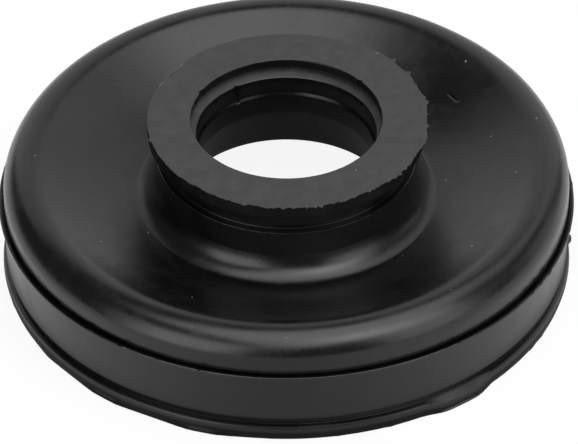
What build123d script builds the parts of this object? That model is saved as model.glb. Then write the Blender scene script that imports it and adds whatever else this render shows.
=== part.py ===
from build123d import *
import os
from math import radians, sqrt, tan

# One-piece moulded rubber bellows: a lipped neck, one open fold and a banded rim, turned about +Z.
# The rim stands on its flat base at z = 0. Lengths are in millimetres and angles in degrees.

# Rim, from the base up: lip, groove, drafted band and the bead along the mould's parting line
rim_diameter = 60.0
lip_inset = 0.2
lip_undercut = 0.3
lip_bulge_height = 1.1
lip_height = 1.95
lip_groove_width = 1.1
lip_groove_depth = 0.4
band_height = 5.0
band_inset = 0.5
band_draft = 1.0
bead_height = 0.4

# Fold: a groove that runs in under the ring, the upright ring, its round shoulder and the dish
parting_step = 0.8
parting_groove_width = 0.25
parting_groove_depth = 0.7
parting_groove_drop = 0.35
ring_height = 6.5
shoulder_radius = 2.1
valley_height = 8.75

# Neck, from the valley up: flared root, straight land, collar groove and flange
neck_wall = 4.45
flare_reach = 2.05
flare_height = 2.1
land_height = 3.35
collar_groove_width = 2.5
collar_groove_depth = 0.7
flange_thickness = 1.7
flange_overhang = 0.8

# Bore, from the mouth down: lip, snap groove, split ring, throat and bell
throat_diameter = 18.3
mouth_clearance = 0.75
lip_thickness = 0.9
snap_groove_width = 1.0
snap_groove_depth = 1.3
split_ring_height = 2.15
throat_step = 0.2
throat_length = 2.0
bell_flare = 2.25

# Slit through the wall of the split ring, at its bearing from +X
slit_width = 0.4
slit_depth = 0.5
slit_bearing = 124.0

# Underside: the foot below the valley, the skin below the dish, and the rim's seat with the stop above it
foot_thickness = 2.05
skin = 2.2
rim_wall = 2.0
rim_seat_depth = 6.4
stop_step = 0.8

# How far a cut runs past the faces that it opens
overrun = 0.1

# Radii that follow
rim_radius = rim_diameter / 2
ring_radius = rim_radius - parting_step
rim_seat_radius = ring_radius - rim_wall
stop_radius = rim_seat_radius - stop_step
throat_radius = throat_diameter / 2
split_ring_radius = throat_radius + throat_step
mouth_radius = throat_radius + mouth_clearance
snap_groove_radius = mouth_radius + snap_groove_depth
bell_radius = throat_radius + bell_flare
neck_radius = throat_radius + neck_wall
collar_groove_radius = neck_radius - collar_groove_depth
flange_radius = neck_radius + flange_overhang
valley_radius = neck_radius + flare_reach

# Heights that follow
band_foot_height = lip_height + lip_groove_width
band_top_height = band_foot_height + band_height
parting_height = band_top_height + bead_height
flare_top = valley_height + flare_height
collar_height = flare_top + land_height
flange_underside = collar_height + collar_groove_width
height = flange_underside + flange_thickness
lip_underside = height - lip_thickness
split_ring_top = lip_underside - snap_groove_width
split_ring_foot = split_ring_top - split_ring_height
throat_top = split_ring_foot - throat_step
throat_foot = throat_top - throat_length
bell_height = valley_height - foot_thickness

# Ball that the dish is part of: centred on the axis, through the ring's corner and the valley
ring_corner = Vector(ring_radius, parting_height + ring_height)
valley = Vector(valley_radius, valley_height)
dish_centre = Vector(0, (ring_corner.length**2 - valley.length**2) / (ring_corner.Y - valley.Y) / 2)
dish_radius = (valley - dish_centre).length


def square_to_dish(point, depth=0):
    """Point this deep below the dish, on the line that runs square to the dish through another point."""
    return dish_centre + (point - dish_centre).normalized() * (dish_radius + depth)


def below_dish(radius, depth):
    """Point at a radius, on the curve that runs parallel to the dish this deep below it."""
    drop = sqrt((dish_radius + depth) ** 2 - radius**2)
    return Vector(radius, dish_centre.Y - drop)


# Corners of the section, each a radius and a height, that more than one stretch uses
base_inside = Vector(rim_seat_radius, 0)
shoulder_centre = below_dish(ring_radius - shoulder_radius, shoulder_radius)
shoulder_foot = Vector(ring_radius, shoulder_centre.Y)
dish_top = square_to_dish(shoulder_centre)
land_foot = Vector(neck_radius, flare_top)
mouth = Vector(mouth_radius, height)
bell_edge = Vector(bell_radius, bell_height)
ceiling_foot = square_to_dish(valley, skin)
ceiling_corner = below_dish(stop_radius, skin)


def band_point(z):
    """Point on the drafted band at a height."""
    return Vector(rim_radius - band_inset - (band_top_height - z) * tan(radians(band_draft)), z)


def rim_outline():
    """From the inside of the base round the lip, the band and the bead, and in and out of the groove."""
    lip_radius = rim_radius - lip_inset
    band_foot = band_point(band_foot_height)
    return Polyline(
        base_inside,
        (lip_radius - lip_undercut, 0),
        (lip_radius, lip_bulge_height),
        (band_foot.X - lip_groove_depth, lip_height),
        band_foot,
        band_point(band_top_height),
        (rim_radius, band_top_height),
        (rim_radius, parting_height),
        (ring_radius - parting_groove_depth, parting_height - parting_groove_drop),
        (ring_radius, parting_height + parting_groove_width),
        shoulder_foot,
    )


def fold_outline():
    """From the ring over the round shoulder, down the dish to the valley and up the neck's flared root."""
    return [
        RadiusArc(shoulder_foot, dish_top, -shoulder_radius),
        RadiusArc(dish_top, valley, dish_radius),
        Bezier(valley, (neck_radius, valley_height), land_foot),
    ]


def neck_outline():
    """From the flare up the land, round the collar groove and the flange to the mouth."""
    return Polyline(
        land_foot,
        (neck_radius, collar_height),
        (collar_groove_radius, collar_height),
        (collar_groove_radius, flange_underside),
        (flange_radius, flange_underside),
        (flange_radius, height),
        mouth,
    )


def bore_outline():
    """From the mouth down past the lip, the snap groove, the split ring and the throat to the bell."""
    return Polyline(
        mouth,
        (mouth_radius, lip_underside),
        (snap_groove_radius, lip_underside),
        (snap_groove_radius, split_ring_top),
        (split_ring_radius, split_ring_top),
        (split_ring_radius, split_ring_foot),
        (throat_radius, throat_top),
        (throat_radius, throat_foot),
        bell_edge,
    )


def underside_outline():
    """From the bell's edge along the foot and the ceiling, and down past the stop to the base."""
    stop_edge = (stop_radius, rim_seat_depth)
    seat_top = (rim_seat_radius, rim_seat_depth)
    return Polyline(bell_edge, ceiling_foot, ceiling_corner, stop_edge, seat_top, base_inside)


def bellows_section():
    """Half section of the whole moulding."""
    outline = [rim_outline(), neck_outline(), bore_outline(), underside_outline()] + fold_outline()
    return make_face(Curve() + outline)


def ring_slit():
    """Narrow slit, cut outwards from the bore over the whole height of the split ring."""
    cut = Box(
        slit_depth + overrun,
        slit_width,
        split_ring_height + overrun,
        align=(Align.MIN, Align.CENTER, Align.MIN),
    )
    return Rot(Z=slit_bearing) * Pos(split_ring_radius - overrun, 0, split_ring_foot) * cut


bellows = revolve(Plane.XZ * bellows_section(), Axis.Z) - ring_slit()

os.makedirs("parts", exist_ok=True)
export_step(bellows, "parts/bellows.step")
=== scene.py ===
import math
from collections import namedtuple

import bpy
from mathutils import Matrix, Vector


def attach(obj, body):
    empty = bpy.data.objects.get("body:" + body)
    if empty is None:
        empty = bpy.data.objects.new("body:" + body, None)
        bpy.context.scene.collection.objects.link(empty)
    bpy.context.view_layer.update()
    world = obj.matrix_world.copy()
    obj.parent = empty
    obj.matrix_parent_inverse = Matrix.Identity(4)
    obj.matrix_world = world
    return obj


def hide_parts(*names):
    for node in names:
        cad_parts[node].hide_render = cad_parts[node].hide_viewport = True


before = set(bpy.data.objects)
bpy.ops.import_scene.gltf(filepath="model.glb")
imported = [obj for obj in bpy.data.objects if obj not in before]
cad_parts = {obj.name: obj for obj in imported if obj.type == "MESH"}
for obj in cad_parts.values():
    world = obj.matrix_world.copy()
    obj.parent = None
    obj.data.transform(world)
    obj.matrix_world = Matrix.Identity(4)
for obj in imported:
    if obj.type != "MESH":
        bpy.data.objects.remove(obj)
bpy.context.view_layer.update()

# Lengths are in metres and bearings in degrees from +X
MM = 0.001

# Rim of the section, from the base up. The section's sizes are close to those of the part's source.
RIM_RADIUS = 30.0 * MM
LIP_FOOT_RADIUS = 29.5 * MM
LIP_RADIUS = 29.75 * MM
LIP_BULGE_HEIGHT = 0.9 * MM
LIP_TOP_RADIUS = 29.63 * MM
LIP_TOP_HEIGHT = 1.6 * MM
LIP_GROOVE_RADIUS = 29.0 * MM
LIP_GROOVE_HEIGHT = 1.7 * MM
BAND_FOOT_RADIUS = 29.41 * MM
BAND_FOOT_HEIGHT = 2.55 * MM
BAND_TOP_RADIUS = 29.5 * MM
BAND_TOP_HEIGHT = 8.05 * MM
PARTING_HEIGHT = 8.45 * MM

# Fold: the groove under the ring, the ring, its round shoulder, the dish with its scratch, and the valley
GROOVE_TIP_RADIUS = 28.5 * MM
GROOVE_TIP_HEIGHT = 8.1 * MM
RING_RADIUS = 29.45 * MM
RING_EDGE_HEIGHT = 8.55 * MM
RING_CORNER_HEIGHT = 15.05 * MM
SHOULDER_RADIUS = 2.8 * MM
SCRATCH_RADIUS = 21.7 * MM
SCRATCH_HALF_WIDTH = 0.2 * MM
VALLEY_RADIUS = 15.65 * MM
VALLEY_HEIGHT = 8.95 * MM

# Neck: the flare, the land, the collar groove and the flange, whose edge is torn this far down and in
NECK_RADIUS = 13.6 * MM
FLARE_TOP = 11.2 * MM
FLARE_HOLLOW = 0.43 * MM
COLLAR_HEIGHT = 14.2 * MM
COLLAR_GROOVE_RADIUS = 12.9 * MM
FLANGE_UNDERSIDE = 16.7 * MM
FLANGE_RADIUS = 14.4 * MM
HEIGHT = 18.4 * MM
TORN_DEPTH = 0.22 * MM
TORN_WIDTH = 0.3 * MM

# Bore, from the mouth down: lip, snap groove with its sloping floor, split ring, throat and bell
MOUTH_RADIUS = 9.9 * MM
LIP_UNDERSIDE = 17.5 * MM
SNAP_GROOVE_RADIUS = 11.2 * MM
LEDGE_FALL = 0.6 * MM
SPLIT_RING_TOP = 16.5 * MM
SPLIT_RING_FOOT = 14.66 * MM
SPLIT_RING_RADIUS = 9.35 * MM
THROAT_TOP = 14.3 * MM
THROAT_FOOT = 12.15 * MM
THROAT_RADIUS = 9.15 * MM
BELL_RADIUS = 11.4 * MM
BELL_HEIGHT = 6.7 * MM

# Underside: the skin below the dish, and the rim's seat with the stop above it
SKIN = 2.2 * MM
STOP_RADIUS = 26.4 * MM
SEAT_RADIUS = 27.2 * MM
SEAT_DEPTH = 6.4 * MM

# Pieces along each curve of the section
SHOULDER_PIECES = 16
DISH_PIECES = 14
FLARE_PIECES = 10
CEILING_PIECES = 4
ROUND_PIECES = 6
SMALL_ROUND_PIECES = 2
SMALL_ROUND = 0.2 * MM

# Steps along straight stretches that show and that don't, and the share of a step that is let pass
SHOWN_STEP = 1.1 * MM
HIDDEN_STEP = 4.0 * MM
SPARE_STEP = 0.2

# Path that the section is turned along, and the bend above which an edge is shaded as a crisp one
TURN_PIECES = 600
PATH_RADIUS = 20.0 * MM
SHARP_TURN = math.radians(16.0)

# Point of the section: how far it is rounded, the edge it belongs to and the zone that starts there
Station = namedtuple("Station", "radius height soft edge zone", defaults=(0.0, "", ""))


def arc_stations(centre, start, end, pieces):
    """Stations along the shorter arc about a centre, from a start to an end, both included."""
    reach = (start - centre).length
    first = math.atan2(start.y - centre.y, start.x - centre.x)
    last = math.atan2(end.y - centre.y, end.x - centre.x)
    turn = (last - first + math.pi) % (2 * math.pi) - math.pi
    angles = [first + turn * i / pieces for i in range(pieces + 1)]
    return [Station(centre.x + reach * math.cos(a), centre.y + reach * math.sin(a)) for a in angles]


def bend(start, corner, end, share):
    """Point at a share of the curve that leaves its start towards a corner and turns to its end."""
    return start.lerp(corner, share).lerp(corner.lerp(end, share), share)


def dish_ball():
    """Centre and radius of the ball that the dish is part of, in the section's plane."""
    corner = Vector((RING_RADIUS, RING_CORNER_HEIGHT))
    valley = Vector((VALLEY_RADIUS, VALLEY_HEIGHT))
    height = (corner.length_squared - valley.length_squared) / (corner.y - valley.y) / 2
    centre = Vector((0.0, height))
    return centre, (valley - centre).length


def below_dish(radius, depth):
    """Point at a radius on the curve that runs parallel to the dish, this deep below it."""
    centre, reach = dish_ball()
    return Vector((radius, centre.y - math.sqrt((reach + depth) ** 2 - radius ** 2)))


def rim_stations():
    """From the inside of the base round the lip, the band and the bead, and in and out of the groove."""
    return [
        Station(SEAT_RADIUS, 0.0, soft=0.12 * MM),
        Station(LIP_FOOT_RADIUS, 0.0, soft=0.12 * MM, edge="lip_edge"),
        Station(LIP_RADIUS, LIP_BULGE_HEIGHT, soft=0.3 * MM, edge="lip_bulge"),
        Station(LIP_TOP_RADIUS, LIP_TOP_HEIGHT, soft=0.18 * MM, edge="lip_bulge"),
        Station(LIP_GROOVE_RADIUS, LIP_GROOVE_HEIGHT, soft=0.1 * MM),
        Station(BAND_FOOT_RADIUS, BAND_FOOT_HEIGHT, soft=0.3 * MM),
        Station(BAND_TOP_RADIUS, BAND_TOP_HEIGHT, soft=0.12 * MM),
        Station(RIM_RADIUS, BAND_TOP_HEIGHT, soft=0.14 * MM, edge="parting_edge"),
        Station(RIM_RADIUS, PARTING_HEIGHT, soft=0.26 * MM, edge="parting_edge"),
        Station(GROOVE_TIP_RADIUS, GROOVE_TIP_HEIGHT),
        Station(RING_RADIUS, RING_EDGE_HEIGHT, soft=0.1 * MM),
    ]


def scratch_stations():
    """Where a scratch runs along the dish: its outer side, its bottom and its inner side."""
    outer = below_dish(SCRATCH_RADIUS + SCRATCH_HALF_WIDTH, 0.0)
    bottom = below_dish(SCRATCH_RADIUS, 0.0)
    inner = below_dish(SCRATCH_RADIUS - SCRATCH_HALF_WIDTH, 0.0)
    return [Station(*outer), Station(*bottom, edge="scratch"), Station(*inner)]


def shoulder_and_dish_stations():
    """Over the round shoulder and down the dish, as far as the valley's crease."""
    centre, reach = dish_ball()
    shoulder_centre = below_dish(RING_RADIUS - SHOULDER_RADIUS, SHOULDER_RADIUS)
    shoulder_foot = Vector((RING_RADIUS, shoulder_centre.y))
    dish_top = centre + (shoulder_centre - centre).normalized() * reach
    valley = Vector((VALLEY_RADIUS, VALLEY_HEIGHT))
    shoulder = arc_stations(shoulder_centre, shoulder_foot, dish_top, SHOULDER_PIECES)
    dish = arc_stations(centre, dish_top, valley, DISH_PIECES)[1:-1] + scratch_stations()
    dish.sort(key=lambda point: point.radius, reverse=True)
    return shoulder + dish


def flare_stations():
    """From the valley's crease up the hollow flare at the root of the neck."""
    valley = Vector((VALLEY_RADIUS, VALLEY_HEIGHT))
    land_foot = Vector((NECK_RADIUS, FLARE_TOP))
    run = land_foot - valley
    inward = Vector((-run.y, run.x)).normalized()
    corner = (valley + land_foot) / 2 + inward * 2 * FLARE_HOLLOW
    shares = [i / FLARE_PIECES for i in range(1, FLARE_PIECES + 1)]
    crease = Station(*valley, soft=0.1 * MM, edge="valley_edge")
    return [crease] + [Station(*bend(valley, corner, land_foot, share)) for share in shares]


def neck_stations():
    """Up the land, round the collar groove and the flange to the flange's cut face."""
    return [
        Station(NECK_RADIUS, COLLAR_HEIGHT, soft=0.1 * MM, edge="collar_edge"),
        Station(COLLAR_GROOVE_RADIUS, COLLAR_HEIGHT, soft=0.1 * MM),
        Station(COLLAR_GROOVE_RADIUS, FLANGE_UNDERSIDE, soft=0.1 * MM),
        Station(FLANGE_RADIUS, FLANGE_UNDERSIDE, soft=0.15 * MM),
        Station(FLANGE_RADIUS, HEIGHT - TORN_DEPTH),
        Station(FLANGE_RADIUS, HEIGHT, soft=0.06 * MM, edge="flange_edge", zone="cut_face"),
        Station(FLANGE_RADIUS - TORN_WIDTH, HEIGHT, zone="cut_face"),
    ]


def bore_stations():
    """Down past the mouth's lip, the snap groove, the split ring and the throat to the bell."""
    return [
        Station(MOUTH_RADIUS, HEIGHT, soft=0.1 * MM, edge="mouth_edge"),
        Station(MOUTH_RADIUS, LIP_UNDERSIDE, soft=0.08 * MM, edge="mouth_edge"),
        Station(SNAP_GROOVE_RADIUS, LIP_UNDERSIDE, soft=0.1 * MM),
        Station(SNAP_GROOVE_RADIUS, SPLIT_RING_TOP + LEDGE_FALL, soft=0.1 * MM, zone="cut_face"),
        Station(SPLIT_RING_RADIUS, SPLIT_RING_TOP, soft=0.1 * MM, edge="ring_edge", zone="ring_wall"),
        Station(SPLIT_RING_RADIUS, SPLIT_RING_FOOT, soft=0.06 * MM, zone="ring_wall"),
        Station(THROAT_RADIUS, THROAT_TOP, soft=0.06 * MM),
        Station(THROAT_RADIUS, THROAT_FOOT, soft=0.2 * MM),
        Station(BELL_RADIUS, BELL_HEIGHT, soft=0.3 * MM, zone="hidden"),
    ]


def underside_stations():
    """Along the ceiling below the dish, and down past the stop and the seat to the base."""
    centre, reach = dish_ball()
    valley = Vector((VALLEY_RADIUS, VALLEY_HEIGHT))
    ceiling_foot = centre + (valley - centre).normalized() * (reach + SKIN)
    ceiling = arc_stations(centre, ceiling_foot, below_dish(STOP_RADIUS, SKIN), CEILING_PIECES)
    stop = [Station(STOP_RADIUS, SEAT_DEPTH), Station(SEAT_RADIUS, SEAT_DEPTH)]
    return [point._replace(zone="hidden") for point in ceiling + stop]


def softened(stations):
    """The closed section with each soft corner turned into a small round of a few points."""
    points = []
    for i, here in enumerate(stations):
        if not here.soft:
            points.append(here)
            continue
        before = stations[i - 1]
        after = stations[(i + 1) % len(stations)]
        corner = Vector((here.radius, here.height))
        first = corner + (Vector((before.radius, before.height)) - corner).normalized() * here.soft
        last = corner + (Vector((after.radius, after.height)) - corner).normalized() * here.soft
        pieces = ROUND_PIECES if here.soft > SMALL_ROUND else SMALL_ROUND_PIECES
        for k in range(pieces + 1):
            spot = bend(first, corner, last, k / pieces)
            zone = here.zone if k else before.zone
            points.append(here._replace(radius=spot.x, height=spot.y, zone=zone))
    return points


def divided(points):
    """The section with its long straight stretches divided evenly."""
    finer = []
    for i, here in enumerate(points):
        there = points[(i + 1) % len(points)]
        span = math.hypot(there.radius - here.radius, there.height - here.height)
        step = HIDDEN_STEP if here.zone == "hidden" else SHOWN_STEP
        pieces = math.ceil(span / step - SPARE_STEP)
        finer.append(here)
        for k in range(1, pieces):
            share = k / pieces
            radius = here.radius + (there.radius - here.radius) * share
            height = here.height + (there.height - here.height) * share
            finer.append(Station(radius, height, zone=here.zone))
    return finer


def moulding_section():
    """Half section of the whole moulding, as a closed row of stations."""
    fold = shoulder_and_dish_stations() + flare_stations()
    return divided(softened(rim_stations() + fold + neck_stations() + bore_stations() + underside_stations()))


def section_mesh():
    """The section as a closed line, with one mark for each edge and zone."""
    mesh = bpy.data.meshes.new("bellows section")
    order = moulding_section()[::-1]
    corners = [(point.radius - PATH_RADIUS, -point.height, 0.0) for point in order]
    mesh.from_pydata(corners, [(i, (i + 1) % len(corners)) for i in range(len(corners))], [])
    names = {name for point in order for name in (point.edge, point.zone) if name}
    for name in sorted(names):
        values = [float(name in (point.edge, point.zone)) for point in order]
        mesh.attributes.new(name, "FLOAT", "POINT").data.foreach_set("value", values)
    return mesh


# Kinds of socket that the node trees take and give
FLOAT = "NodeSocketFloat"
INTEGER = "NodeSocketInt"
GEOMETRY = "NodeSocketGeometry"
MATERIAL = "NodeSocketMaterial"

# Straight up, and what keeps the level part of a vector
UP = (0.0, 0.0, 1.0)
LEVEL = (1.0, 1.0, 0.0)


def floats(*labels):
    """Named sockets that each hold a number."""
    return {label: FLOAT for label in labels}


def new_tree(name, kind, inputs, outputs):
    """A node tree with named sockets, and the sockets that its inside reads and fills."""
    tree = bpy.data.node_groups.new(name, kind)
    for label, socket in inputs.items():
        tree.interface.new_socket(name=label, in_out="INPUT", socket_type=socket)
    for label, socket in outputs.items():
        tree.interface.new_socket(name=label, in_out="OUTPUT", socket_type=socket)
    given = tree.nodes.new("NodeGroupInput").outputs
    made = tree.nodes.new("NodeGroupOutput").inputs
    return tree, given, made


def geometry_tree(name, inputs):
    """A Geometry Nodes tree that takes a geometry and further inputs, and gives a geometry."""
    return new_tree(name, "GeometryNodeTree", {"Geometry": GEOMETRY, **inputs}, {"Geometry": GEOMETRY})


def add_node(tree, kind, inputs=None, **settings):
    """A new node with its settings and inputs. A socket among the inputs is joined to the node."""
    node = tree.nodes.new(kind)
    for name, value in settings.items():
        setattr(node, name, value)
    for name, value in (inputs or {}).items():
        if isinstance(value, bpy.types.NodeSocket):
            tree.links.new(value, node.inputs[name])
        else:
            node.inputs[name].default_value = value
    return node


def group_node(tree, group, inputs):
    """A node that stands for a whole group, with its named inputs."""
    kind = "GeometryNodeGroup" if group.bl_idname == "GeometryNodeTree" else "ShaderNodeGroup"
    return add_node(tree, kind, inputs, node_tree=group)


def number(tree, operation, *values):
    """Result of a Math node."""
    return add_node(tree, "ShaderNodeMath", dict(enumerate(values)), operation=operation).outputs[0]


def product(tree, result, *others):
    """Several numbers multiplied together."""
    for other in others:
        result = number(tree, "MULTIPLY", result, other)
    return result


def vector(tree, operation, *values):
    """Vector result of a Vector Math node."""
    return add_node(tree, "ShaderNodeVectorMath", dict(enumerate(values)), operation=operation).outputs[0]


def dot(tree, a, b):
    """Dot product of two vectors."""
    return add_node(tree, "ShaderNodeVectorMath", {0: a, 1: b}, operation="DOT_PRODUCT").outputs["Value"]


def stretched(tree, direction, length):
    """A vector times a number."""
    inputs = {0: direction, "Scale": length}
    return add_node(tree, "ShaderNodeVectorMath", inputs, operation="SCALE").outputs[0]


def side_of(tree, spot, axis):
    """One of a vector's three numbers."""
    return add_node(tree, "ShaderNodeSeparateXYZ", {0: spot}).outputs[axis]


def ramp(tree, value, low, high, start=0.0, end=1.0):
    """A smooth change from start to end as a value passes from low to high."""
    return add_node(tree, "ShaderNodeMapRange", {
        "Value": value, "From Min": low, "From Max": high, "To Min": start, "To Max": end,
    }, interpolation_type="SMOOTHSTEP").outputs["Result"]


def position(tree):
    """Where each point of a geometry is."""
    return add_node(tree, "GeometryNodeInputPosition").outputs[0]


def outward(tree, spot):
    """Level unit vector from the axis towards a spot."""
    return vector(tree, "NORMALIZE", vector(tree, "MULTIPLY", spot, LEVEL))


def heading(tree, bearing):
    """Level unit vector along a bearing."""
    turn = number(tree, "RADIANS", bearing)
    sides = {"X": number(tree, "COSINE", turn), "Y": number(tree, "SINE", turn)}
    return add_node(tree, "ShaderNodeCombineXYZ", sides).outputs[0]


def mark(tree, name):
    """The section's mark for an edge or a zone."""
    return add_node(tree, "GeometryNodeInputNamedAttribute", {"Name": name}, data_type="FLOAT").outputs[0]


def moved(tree, geometry, direction, push, lift):
    """The geometry with its points pushed along a level direction and lifted."""
    up = add_node(tree, "ShaderNodeCombineXYZ", {"Z": lift}).outputs[0]
    offset = vector(tree, "ADD", stretched(tree, direction, push), up)
    return add_node(tree, "GeometryNodeSetPosition", {"Geometry": geometry, "Offset": offset}).outputs[0]


# Middle of a noise
NOISE_MIDDLE = 0.5

# Noise that flash starts from when bare, how far full cover lowers that, and the rise to a full tear
BARE_NOISE = 0.72
COVER_NOISE = 0.44
TEAR_NOISE = 0.22


def ragged_flash_tree():
    """Thin torn rubber along an edge, thicker towards one bearing."""
    tree, given, made = geometry_tree("ragged flash", floats(
        "Edge", "Reach", "Lift", "Tears", "Cover", "Bearing", "Spread", "Elsewhere", "Seed",
    ))
    out = outward(tree, position(tree))
    noise = add_node(tree, "ShaderNodeTexNoise", {
        "Vector": stretched(tree, out, given["Tears"]), "W": given["Seed"],
        "Scale": 1.0, "Detail": 4.0, "Roughness": 0.62,
    }, noise_dimensions="4D").outputs[0]
    start = number(tree, "SUBTRACT", BARE_NOISE, product(tree, given["Cover"], COVER_NOISE))
    torn = ramp(tree, noise, start, number(tree, "ADD", start, TEAR_NOISE))
    side = number(tree, "COSINE", number(tree, "RADIANS", given["Spread"]))
    towards = dot(tree, out, heading(tree, given["Bearing"]))
    facing = ramp(tree, towards, side, 1.0, given["Elsewhere"], 1.0)
    amount = product(tree, torn, facing, given["Edge"])
    push = product(tree, amount, given["Reach"])
    lift = product(tree, amount, given["Lift"])
    tree.links.new(moved(tree, given["Geometry"], out, push, lift), made["Geometry"])
    return tree


def local_dent_tree():
    """A short stretch of an edge or wall, moved at one bearing: a nick, a slit, a chip or a nib."""
    tree, given, made = geometry_tree("local dent", floats(
        "Edge", "Bearing", "Half Width", "Soft Width", "Push", "Lift",
    ))
    spot = position(tree)
    out = outward(tree, spot)
    along = heading(tree, given["Bearing"])
    across = vector(tree, "CROSS_PRODUCT", UP, along)
    aside = number(tree, "ABSOLUTE", dot(tree, spot, across))
    far = number(tree, "ADD", given["Half Width"], given["Soft Width"])
    near = ramp(tree, aside, given["Half Width"], far, 1.0, 0.0)
    this_side = number(tree, "GREATER_THAN", dot(tree, out, along), 0.0)
    amount = product(tree, near, this_side, given["Edge"])
    push = product(tree, amount, given["Push"])
    lift = product(tree, amount, given["Lift"])
    tree.links.new(moved(tree, given["Geometry"], out, push, lift), made["Geometry"])
    return tree


def straight_trim_tree():
    """An edge cut back to a straight line, as a knife leaves it."""
    tree, given, made = geometry_tree("straight trim", floats("Edge", "Bearing", "Distance"))
    along = heading(tree, given["Bearing"])
    over = number(tree, "SUBTRACT", dot(tree, position(tree), along), given["Distance"])
    push = product(tree, number(tree, "MAXIMUM", over, 0.0), given["Edge"], -1.0)
    tree.links.new(moved(tree, given["Geometry"], along, push, 0.0), made["Geometry"])
    return tree


def soft_lean_tree():
    """Soft rubber that has settled: higher towards one bearing and lower behind it."""
    tree, given, made = geometry_tree("soft lean", floats(
        "Bearing", "Slope", "From Height", "To Height", "From Radius", "To Radius",
    ))
    spot = position(tree)
    along = heading(tree, given["Bearing"])
    high = ramp(tree, side_of(tree, spot, "Z"), given["From Height"], given["To Height"])
    wide = ramp(tree, dot(tree, spot, outward(tree, spot)), given["From Radius"], given["To Radius"])
    rise = product(tree, dot(tree, spot, along), given["Slope"])
    lift = product(tree, rise, product(tree, high, wide))
    tree.links.new(moved(tree, given["Geometry"], along, 0.0, lift), made["Geometry"])
    return tree


def soft_wobble_tree():
    """The slight unevenness of a soft moulding."""
    tree, given, made = geometry_tree("soft wobble", floats("Amount", "Lumps", "Seed"))
    spot = position(tree)
    noise = add_node(tree, "ShaderNodeTexNoise", {
        "Vector": stretched(tree, spot, given["Lumps"]), "W": given["Seed"],
        "Scale": 1.0, "Detail": 1.0, "Roughness": 0.4,
    }, noise_dimensions="4D").outputs[0]
    push = product(tree, number(tree, "SUBTRACT", noise, NOISE_MIDDLE), given["Amount"])
    tree.links.new(moved(tree, given["Geometry"], outward(tree, spot), push, 0.0), made["Geometry"])
    return tree


Flash = namedtuple("Flash", "edge reach lift tears cover bearing spread elsewhere seed")
Dent = namedtuple("Dent", "edge bearing half_width soft_width push lift")
Trim = namedtuple("Trim", "edge bearing distance")
Lean = namedtuple("Lean", "bearing slope from_radius")

# What the mould, the knife and handling left on the edges, in the order in which it happens
TREATMENTS = [
    Flash("flange_edge", 0.32 * MM, 0.0, 2.2, 0.9, -40.0, 130.0, 0.0, 3.0),
    Flash("flange_edge", 0.4 * MM, 0.0, 2.0, 1.6, 20.0, 60.0, 0.0, 6.0),
    Flash("flange_edge", 0.3 * MM, 0.0, 11.0, 0.6, -70.0, 100.0, 0.1, 4.0),
    Trim("flange_edge", -1.0, 14.5 * MM),
    Trim("flange_edge", 21.0, 14.6 * MM),
    Trim("flange_edge", 36.0, 14.66 * MM),
    Trim("flange_edge", -25.0, 14.62 * MM),
    Trim("flange_edge", -48.0, 14.66 * MM),
    Trim("flange_edge", 148.0, 14.0 * MM),
    Flash("flange_edge", 0.28 * MM, 0.0, 30.0, 0.6, -40.0, 140.0, 0.1, 8.0),
    Dent("flange_edge", 41.0, 0.12 * MM, 0.25 * MM, 0.35 * MM, 0.12 * MM),
    Dent("flange_edge", 31.0, 0.12 * MM, 0.25 * MM, 0.35 * MM, 0.08 * MM),
    Dent("flange_edge", -166.0, 0.1 * MM, 0.3 * MM, 0.2 * MM, -0.1 * MM),
    Flash("parting_edge", 0.16 * MM, 0.08 * MM, 20.0, 0.45, -70.0, 120.0, 0.3, 11.0),
    Flash("valley_edge", 0.0, 0.14 * MM, 18.0, 0.3, -70.0, 60.0, 0.0, 5.0),
    Flash("collar_edge", 0.12 * MM, 0.0, 12.0, 0.5, -90.0, 170.0, 0.4, 17.0),
    Flash("mouth_edge", -0.09 * MM, 0.0, 12.0, 0.5, 50.0, 140.0, 0.3, 9.0),
    Dent("mouth_edge", 152.0, 0.25 * MM, 0.3 * MM, 0.3 * MM, -0.2 * MM),
    Dent("mouth_edge", 40.0, 0.15 * MM, 0.25 * MM, 0.25 * MM, -0.15 * MM),
    Flash("ring_edge", 0.12 * MM, -0.08 * MM, 14.0, 0.4, 100.0, 120.0, 0.2, 13.0),
    Dent("ring_wall", 124.0, 0.1 * MM, 0.12 * MM, 0.16 * MM, 0.0),
    Dent("ring_edge", 123.0, 0.2 * MM, 0.3 * MM, 0.2 * MM, -0.12 * MM),
    Dent("scratch", 35.9, 0.5 * MM, 0.7 * MM, 0.0, -0.1 * MM),
    Dent("scratch", 32.9, 0.05 * MM, 0.4 * MM, 0.0, 0.06 * MM),
    Flash("lip_edge", 0.14 * MM, 0.0, 12.0, 0.45, -90.0, 170.0, 0.4, 7.0),
    Dent("lip_bulge", 3.0, 0.12 * MM, 0.25 * MM, 0.35 * MM, 0.2 * MM),
    Dent("lip_bulge", -53.0, 1.6 * MM, 3.2 * MM, 0.3 * MM, -0.3 * MM),
    Dent("lip_edge", -53.0, 1.6 * MM, 3.2 * MM, 0.55 * MM, 0.0),
    Dent("lip_edge", -122.0, 9.0 * MM, 6.0 * MM, 0.25 * MM, 0.0),
    Trim("lip_edge", -140.0, 29.45 * MM),
    Trim("lip_edge", -118.0, 29.45 * MM),
    Trim("lip_edge", -96.0, 29.45 * MM),
]

# How the soft rubber has settled: fold and neck rise to the back, and the fold alone to the back right
LEANS = [Lean(90.0, 0.011, 0.0), Lean(40.0, 0.0156, VALLEY_RADIUS)]
LEAN_BLEND = 6.0 * MM

# How far the whole moulding wobbles, and the lumps in a metre
WOBBLE = {"Amount": 0.12 * MM, "Lumps": 70.0, "Seed": 2.0}

# Share of a face's corners that carry the cut face's mark, above which the face is a cut one
CUT_SHARE = 0.6


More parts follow.
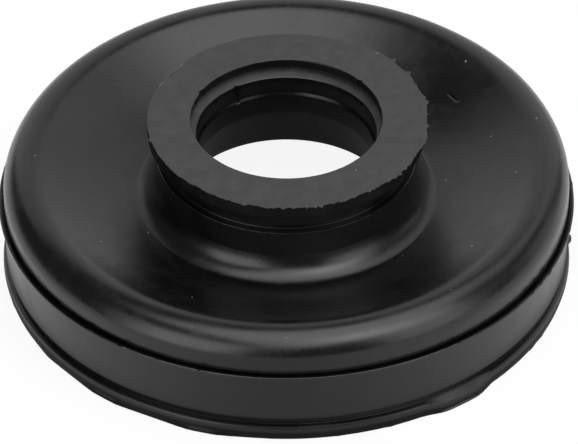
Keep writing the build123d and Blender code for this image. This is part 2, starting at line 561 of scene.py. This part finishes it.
def with_worked_edges(tree, body):
    """The geometry with the treatments of its edges, one after the other."""
    groups = {Flash: ragged_flash_tree(), Dent: local_dent_tree(), Trim: straight_trim_tree()}
    for treatment in TREATMENTS:
        inputs = {name.replace("_", " ").title(): value for name, value in treatment._asdict().items()}
        inputs.update({"Geometry": body, "Edge": mark(tree, treatment.edge)})
        body = group_node(tree, groups[type(treatment)], inputs).outputs["Geometry"]
    return body


def settled(tree, body):
    """The geometry as soft rubber lies: leaning a little, and uneven."""
    lean_group = soft_lean_tree()
    for lean in LEANS:
        body = group_node(tree, lean_group, {
            "Geometry": body, "Bearing": lean.bearing, "Slope": lean.slope,
            "From Height": RING_EDGE_HEIGHT, "To Height": RING_CORNER_HEIGHT - SHOULDER_RADIUS,
            "From Radius": lean.from_radius, "To Radius": lean.from_radius + LEAN_BLEND,
        }).outputs["Geometry"]
    return group_node(tree, soft_wobble_tree(), {"Geometry": body, **WOBBLE}).outputs["Geometry"]


def smoothed(tree, body, sharp_turn):
    """The geometry shaded smooth, with crisp edges where it bends more than a sharp turn."""
    body = add_node(tree, "GeometryNodeSetShadeSmooth", {"Geometry": body}, domain="FACE").outputs[0]
    angle = add_node(tree, "GeometryNodeInputMeshEdgeAngle").outputs["Unsigned Angle"]
    sharp = number(tree, "GREATER_THAN", angle, sharp_turn)
    return add_node(tree, "GeometryNodeSetShadeSmooth", {
        "Geometry": body, "Selection": sharp, "Shade Smooth": False,
    }, domain="EDGE").outputs[0]


def turned_moulding_tree():
    """The whole moulding: the section turned about the axis, with its flash, nicks and trimmed edges."""
    tree, given, made = geometry_tree("turned moulding", {
        "Path Radius": FLOAT, "Pieces": INTEGER, "Sharp Turn": FLOAT, "Moulded": MATERIAL, "Cut": MATERIAL,
    })
    path = add_node(tree, "GeometryNodeCurvePrimitiveCircle", {
        "Resolution": given["Pieces"], "Radius": given["Path Radius"],
    }).outputs["Curve"]
    profile = add_node(tree, "GeometryNodeMeshToCurve", {"Mesh": given["Geometry"]}).outputs["Curve"]
    body = add_node(tree, "GeometryNodeCurveToMesh", {
        "Curve": path, "Profile Curve": profile,
    }).outputs["Mesh"]
    body = settled(tree, with_worked_edges(tree, body))
    body = smoothed(tree, body, given["Sharp Turn"])
    body = add_node(tree, "GeometryNodeRealizeInstances", {"Geometry": body}).outputs[0]
    body = add_node(tree, "GeometryNodeSetMaterial", {
        "Geometry": body, "Material": given["Moulded"],
    }).outputs[0]
    cut = number(tree, "GREATER_THAN", mark(tree, "cut_face"), CUT_SHARE)
    body = add_node(tree, "GeometryNodeSetMaterial", {
        "Geometry": body, "Selection": cut, "Material": given["Cut"],
    }).outputs[0]
    tree.links.new(body, made["Geometry"])
    return tree


def made_plain(holder, tree, inputs, name):
    """Turn a holder into the plain mesh that a tree makes from it."""
    modifier = holder.modifiers.new(name, "NODES")
    modifier.node_group = tree
    for item in tree.interface.items_tree:
        if item.in_out == "INPUT" and item.name in inputs:
            modifier[item.identifier] = inputs[item.name]
    graph = bpy.context.evaluated_depsgraph_get()
    mesh = bpy.data.meshes.new_from_object(holder.evaluated_get(graph), depsgraph=graph)
    mesh.name = name
    holder.modifiers.remove(modifier)
    holder.data = mesh


# Depth of the rubber's grain, and the dust that has settled on it
GRAIN_DEPTH = 0.05 * MM
DUST = {"Spread": 420.0, "Share": 0.045, "Size": 0.042}
DUST_COLOUR = (0.2, 0.2, 0.19, 1.0)
DUST_RAGGEDNESS = 0.1 * MM
DUST_RAGGEDNESS_SCALE = 8000.0

# Smallest speck as a share of the usual one, and the solid core as a share of a speck
SMALLEST_SPECK = 0.4
SPECK_CORE = 0.6

# How far a face looks up where dust starts to lie, and where it lies in full
DUST_FROM_SLOPE = 0.4
DUST_TO_SLOPE = 0.7


def rubber_grain_group():
    """Fine uneven skin of rubber: a height for its grain, and a mask for its faint pale bloom."""
    inputs = floats("Grain Scale", "Bloom Scale", "Bloom Low", "Bloom High")
    tree, given, made = new_tree("rubber grain", "ShaderNodeTree", inputs, floats("Height", "Bloom"))
    spot = add_node(tree, "ShaderNodeTexCoord").outputs["Object"]
    grain = add_node(tree, "ShaderNodeTexNoise", {
        "Vector": spot, "Scale": given["Grain Scale"], "Detail": 3.0, "Roughness": 0.6,
    }).outputs[0]
    bloom = add_node(tree, "ShaderNodeTexNoise", {
        "Vector": spot, "Scale": given["Bloom Scale"], "Detail": 5.0, "Roughness": 0.65,
    }).outputs[0]
    tree.links.new(grain, made["Height"])
    tree.links.new(ramp(tree, bloom, given["Bloom Low"], given["Bloom High"]), made["Bloom"])
    return tree


def settled_dust_group():
    """Rare pale specks on the faces that look up."""
    inputs = floats("Spread", "Share", "Size")
    tree, given, made = new_tree("settled dust", "ShaderNodeTree", inputs, floats("Dust"))
    spot = add_node(tree, "ShaderNodeTexCoord").outputs["Object"]
    rough = add_node(tree, "ShaderNodeTexNoise", {
        "Vector": spot, "Scale": DUST_RAGGEDNESS_SCALE,
    }).outputs["Color"]
    ragged_spot = vector(tree, "ADD", spot, stretched(tree, rough, DUST_RAGGEDNESS))
    cells = add_node(tree, "ShaderNodeTexVoronoi", {
        "Vector": ragged_spot, "Scale": given["Spread"],
    }, voronoi_dimensions="2D").outputs
    draw = add_node(tree, "ShaderNodeSeparateColor", {0: cells["Color"]}).outputs
    chosen = number(tree, "LESS_THAN", draw["Red"], given["Share"])
    reach = product(tree, given["Size"], number(tree, "ADD", draw["Green"], SMALLEST_SPECK))
    speck = ramp(tree, cells["Distance"], product(tree, reach, SPECK_CORE), reach, 1.0, 0.0)
    facing = add_node(tree, "ShaderNodeNewGeometry").outputs["Normal"]
    level = ramp(tree, side_of(tree, facing, "Z"), DUST_FROM_SLOPE, DUST_TO_SLOPE)
    tree.links.new(product(tree, speck, chosen, level), made["Dust"])
    return tree


def rubber(name, grain, dust, dark, pale, roughness, bump, scales):
    """A rubber finish: near black, with a faint pale bloom, an uneven gloss and specks of dust."""
    material = bpy.data.materials.new(name)
    material.use_nodes = True
    tree = material.node_tree
    skin = tree.nodes["Principled BSDF"]
    surface = group_node(tree, grain, scales).outputs
    bloomed = add_node(tree, "ShaderNodeMix", {
        "Factor": surface["Bloom"], "A": (*dark, 1.0), "B": (*pale, 1.0),
    }, data_type="RGBA").outputs["Result"]
    specks = group_node(tree, dust, DUST).outputs["Dust"]
    dusty = add_node(tree, "ShaderNodeMix", {
        "Factor": specks, "A": bloomed, "B": DUST_COLOUR,
    }, data_type="RGBA").outputs["Result"]
    relief = add_node(tree, "ShaderNodeBump", {
        "Height": surface["Height"], "Strength": bump, "Distance": GRAIN_DEPTH,
    }).outputs[0]
    tree.links.new(dusty, skin.inputs["Base Color"])
    tree.links.new(ramp(tree, surface["Bloom"], 0.0, 1.0, *roughness), skin.inputs["Roughness"])
    tree.links.new(relief, skin.inputs["Normal"])
    return material


grain_group = rubber_grain_group()
dust_group = settled_dust_group()
moulded_rubber = rubber(
    "moulded rubber", grain_group, dust_group,
    dark=(0.0016, 0.0016, 0.0017), pale=(0.0036, 0.0036, 0.0037), roughness=(0.24, 0.32), bump=0.2,
    scales={"Grain Scale": 9000.0, "Bloom Scale": 260.0, "Bloom Low": 0.35, "Bloom High": 0.75},
)
cut_rubber = rubber(
    "cut rubber", grain_group, dust_group,
    dark=(0.021, 0.021, 0.0215), pale=(0.040, 0.040, 0.041), roughness=(0.6, 0.75), bump=0.6,
    scales={"Grain Scale": 5000.0, "Bloom Scale": 700.0, "Bloom Low": 0.3, "Bloom High": 0.75},
)

bellows = bpy.data.objects.new("bellows_moulding", section_mesh())
bpy.context.scene.collection.objects.link(bellows)
made_plain(bellows, turned_moulding_tree(), {
    "Path Radius": PATH_RADIUS, "Pieces": TURN_PIECES, "Sharp Turn": SHARP_TURN,
    "Moulded": moulded_rubber, "Cut": cut_rubber,
}, "bellows_moulding")
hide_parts("bellows")
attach(bellows, "root")

# Pale floor, a hair below the base, and the share of it that glows white by itself
FLOOR_HALF_WIDTH = 4.0
FLOOR_DROP = 0.05 * MM
FLOOR_COLOUR = (0.85, 0.85, 0.85, 1.0)
FLOOR_ROUGHNESS = 0.9
FLOOR_GLOSS = 0.1
FLOOR_GLOW = 0.9
WHITE = (1.0, 1.0, 1.0, 1.0)

# Floor's glow in the rubber's gloss, dimmed by a painted shade under the rim and another painted shade near X
# = 0, and how far out each of these painted shades reaches
SHADED_GLOW = 0.12
SHADED_REACH = 1.08 * RIM_RADIUS
AHEAD_SHADED_GLOW = 0.62
AHEAD_REACH = 1.2 * RIM_RADIUS

Softbox = namedtuple("Softbox", "name bearing elevation distance width height glow")

# Soft light from above, from both sides of the camera and from behind
SOFTBOXES = [
    Softbox("overhead softbox", -58.0, 75.0, 0.9, 0.94, 1.05, 2.6),
    Softbox("high right softbox", -50.0, 58.0, 1.0, 0.4, 0.35, 2.2),
    Softbox("left softbox", -130.0, 23.0, 1.0, 0.72, 0.78, 2.6),
    Softbox("right softbox", -36.0, 25.0, 1.0, 0.62, 0.85, 2.0),
    Softbox("side softbox", 22.0, 14.0, 1.2, 0.6, 0.55, 0.7),
    Softbox("high side softbox", 35.0, 51.0, 1.1, 0.5, 0.42, 0.9),
    Softbox("back softbox", 88.0, 28.0, 1.3, 2.2, 1.15, 0.75),
]
ROOM_COLOUR = (0.1, 0.1, 0.1, 1.0)

# Camera, in the photograph's frame
CAMERA_ELEVATION = math.radians(38.49)
CAMERA_DISTANCE = 0.6287
CAMERA_TARGET = Vector((0.27 * MM, 0.0, 4.705 * MM))
CAMERA_LENS = 373.7
CAMERA_SENSOR = 36.0
CAMERA_RANGE = 20.0


def pale_floor_material():
    """Pale floor that looks white, and still takes the object's shadow. Its glow in the rubber's gloss
    carries a painted shade under the rim and near X = 0.
    """
    material = bpy.data.materials.new("pale floor")
    material.use_nodes = True
    tree = material.node_tree
    skin = tree.nodes["Principled BSDF"]
    skin.inputs["Base Color"].default_value = FLOOR_COLOUR
    skin.inputs["Roughness"].default_value = FLOOR_ROUGHNESS
    skin.inputs["Specular IOR Level"].default_value = FLOOR_GLOSS
    ray = add_node(tree, "ShaderNodeLightPath").outputs
    spot = add_node(tree, "ShaderNodeTexCoord").outputs["Object"]
    reach = add_node(tree, "ShaderNodeVectorMath", {0: spot}, operation="LENGTH").outputs["Value"]
    aside = number(tree, "ABSOLUTE", side_of(tree, spot, "X"))
    # Painted shade: the glow that glossy rays see is dimmed under the rim and near X = 0
    painted_shade_glow = product(
        tree,
        ramp(tree, reach, RIM_RADIUS, SHADED_REACH, SHADED_GLOW, 1.0),
        ramp(tree, aside, 0.0, AHEAD_REACH, AHEAD_SHADED_GLOW, 1.0),
    )
    seen = number(tree, "MAXIMUM", ray["Is Camera Ray"], ray["Is Transmission Ray"])
    strength = number(tree, "MULTIPLY_ADD", ray["Is Glossy Ray"], painted_shade_glow, seen)
    glow = add_node(tree, "ShaderNodeEmission", {"Color": WHITE, "Strength": strength}).outputs[0]
    share = product(tree, number(tree, "MAXIMUM", seen, ray["Is Glossy Ray"]), FLOOR_GLOW)
    mixed = add_node(tree, "ShaderNodeMixShader", {0: share, 1: skin.outputs[0], 2: glow}).outputs[0]
    tree.links.new(mixed, tree.nodes["Material Output"].inputs["Surface"])
    return material


def pale_floor():
    """Wide level floor."""
    mesh = bpy.data.meshes.new("floor")
    half = FLOOR_HALF_WIDTH
    corners = [(x, y, -FLOOR_DROP) for x, y in ((-half, -half), (half, -half), (half, half), (-half, half))]
    mesh.from_pydata(corners, [], [(0, 1, 2, 3)])
    mesh.materials.append(pale_floor_material())
    floor = bpy.data.objects.new("floor", mesh)
    bpy.context.scene.collection.objects.link(floor)


def hang_softbox(box):
    """A rectangular studio lamp that faces the object, as bright as its glow."""
    lamp = bpy.data.lights.new(box.name, "AREA")
    lamp.shape = "RECTANGLE"
    lamp.size = box.width
    lamp.size_y = box.height
    lamp.energy = box.glow * math.pi * box.width * box.height
    turn = math.radians(box.bearing)
    rise = math.radians(box.elevation)
    way = Vector((math.cos(rise) * math.cos(turn), math.cos(rise) * math.sin(turn), math.sin(rise)))
    holder = bpy.data.objects.new(box.name, lamp)
    holder.location = way * box.distance
    holder.rotation_euler = (-way).to_track_quat("-Z", "Y").to_euler()
    bpy.context.scene.collection.objects.link(holder)


def dim_room():
    """Faint even light from all round."""
    world = bpy.data.worlds.new("studio room")
    world.use_nodes = True
    world.node_tree.nodes["Background"].inputs["Color"].default_value = ROOM_COLOUR
    bpy.context.scene.world = world


def photo_camera():
    """Long lens at the photograph's angle."""
    lens = bpy.data.cameras.new("camera")
    lens.lens = CAMERA_LENS
    lens.sensor_width = CAMERA_SENSOR
    lens.clip_end = CAMERA_RANGE
    camera = bpy.data.objects.new("camera", lens)
    away = Vector((0.0, -math.cos(CAMERA_ELEVATION), math.sin(CAMERA_ELEVATION)))
    camera.location = CAMERA_TARGET + away * CAMERA_DISTANCE
    camera.rotation_euler = (math.pi / 2 - CAMERA_ELEVATION, 0.0, 0.0)
    bpy.context.scene.collection.objects.link(camera)
    bpy.context.scene.camera = camera


pale_floor()
for softbox in SOFTBOXES:
    hang_softbox(softbox)
dim_room()
photo_camera()
bpy.context.scene.view_settings.view_transform = "Standard"
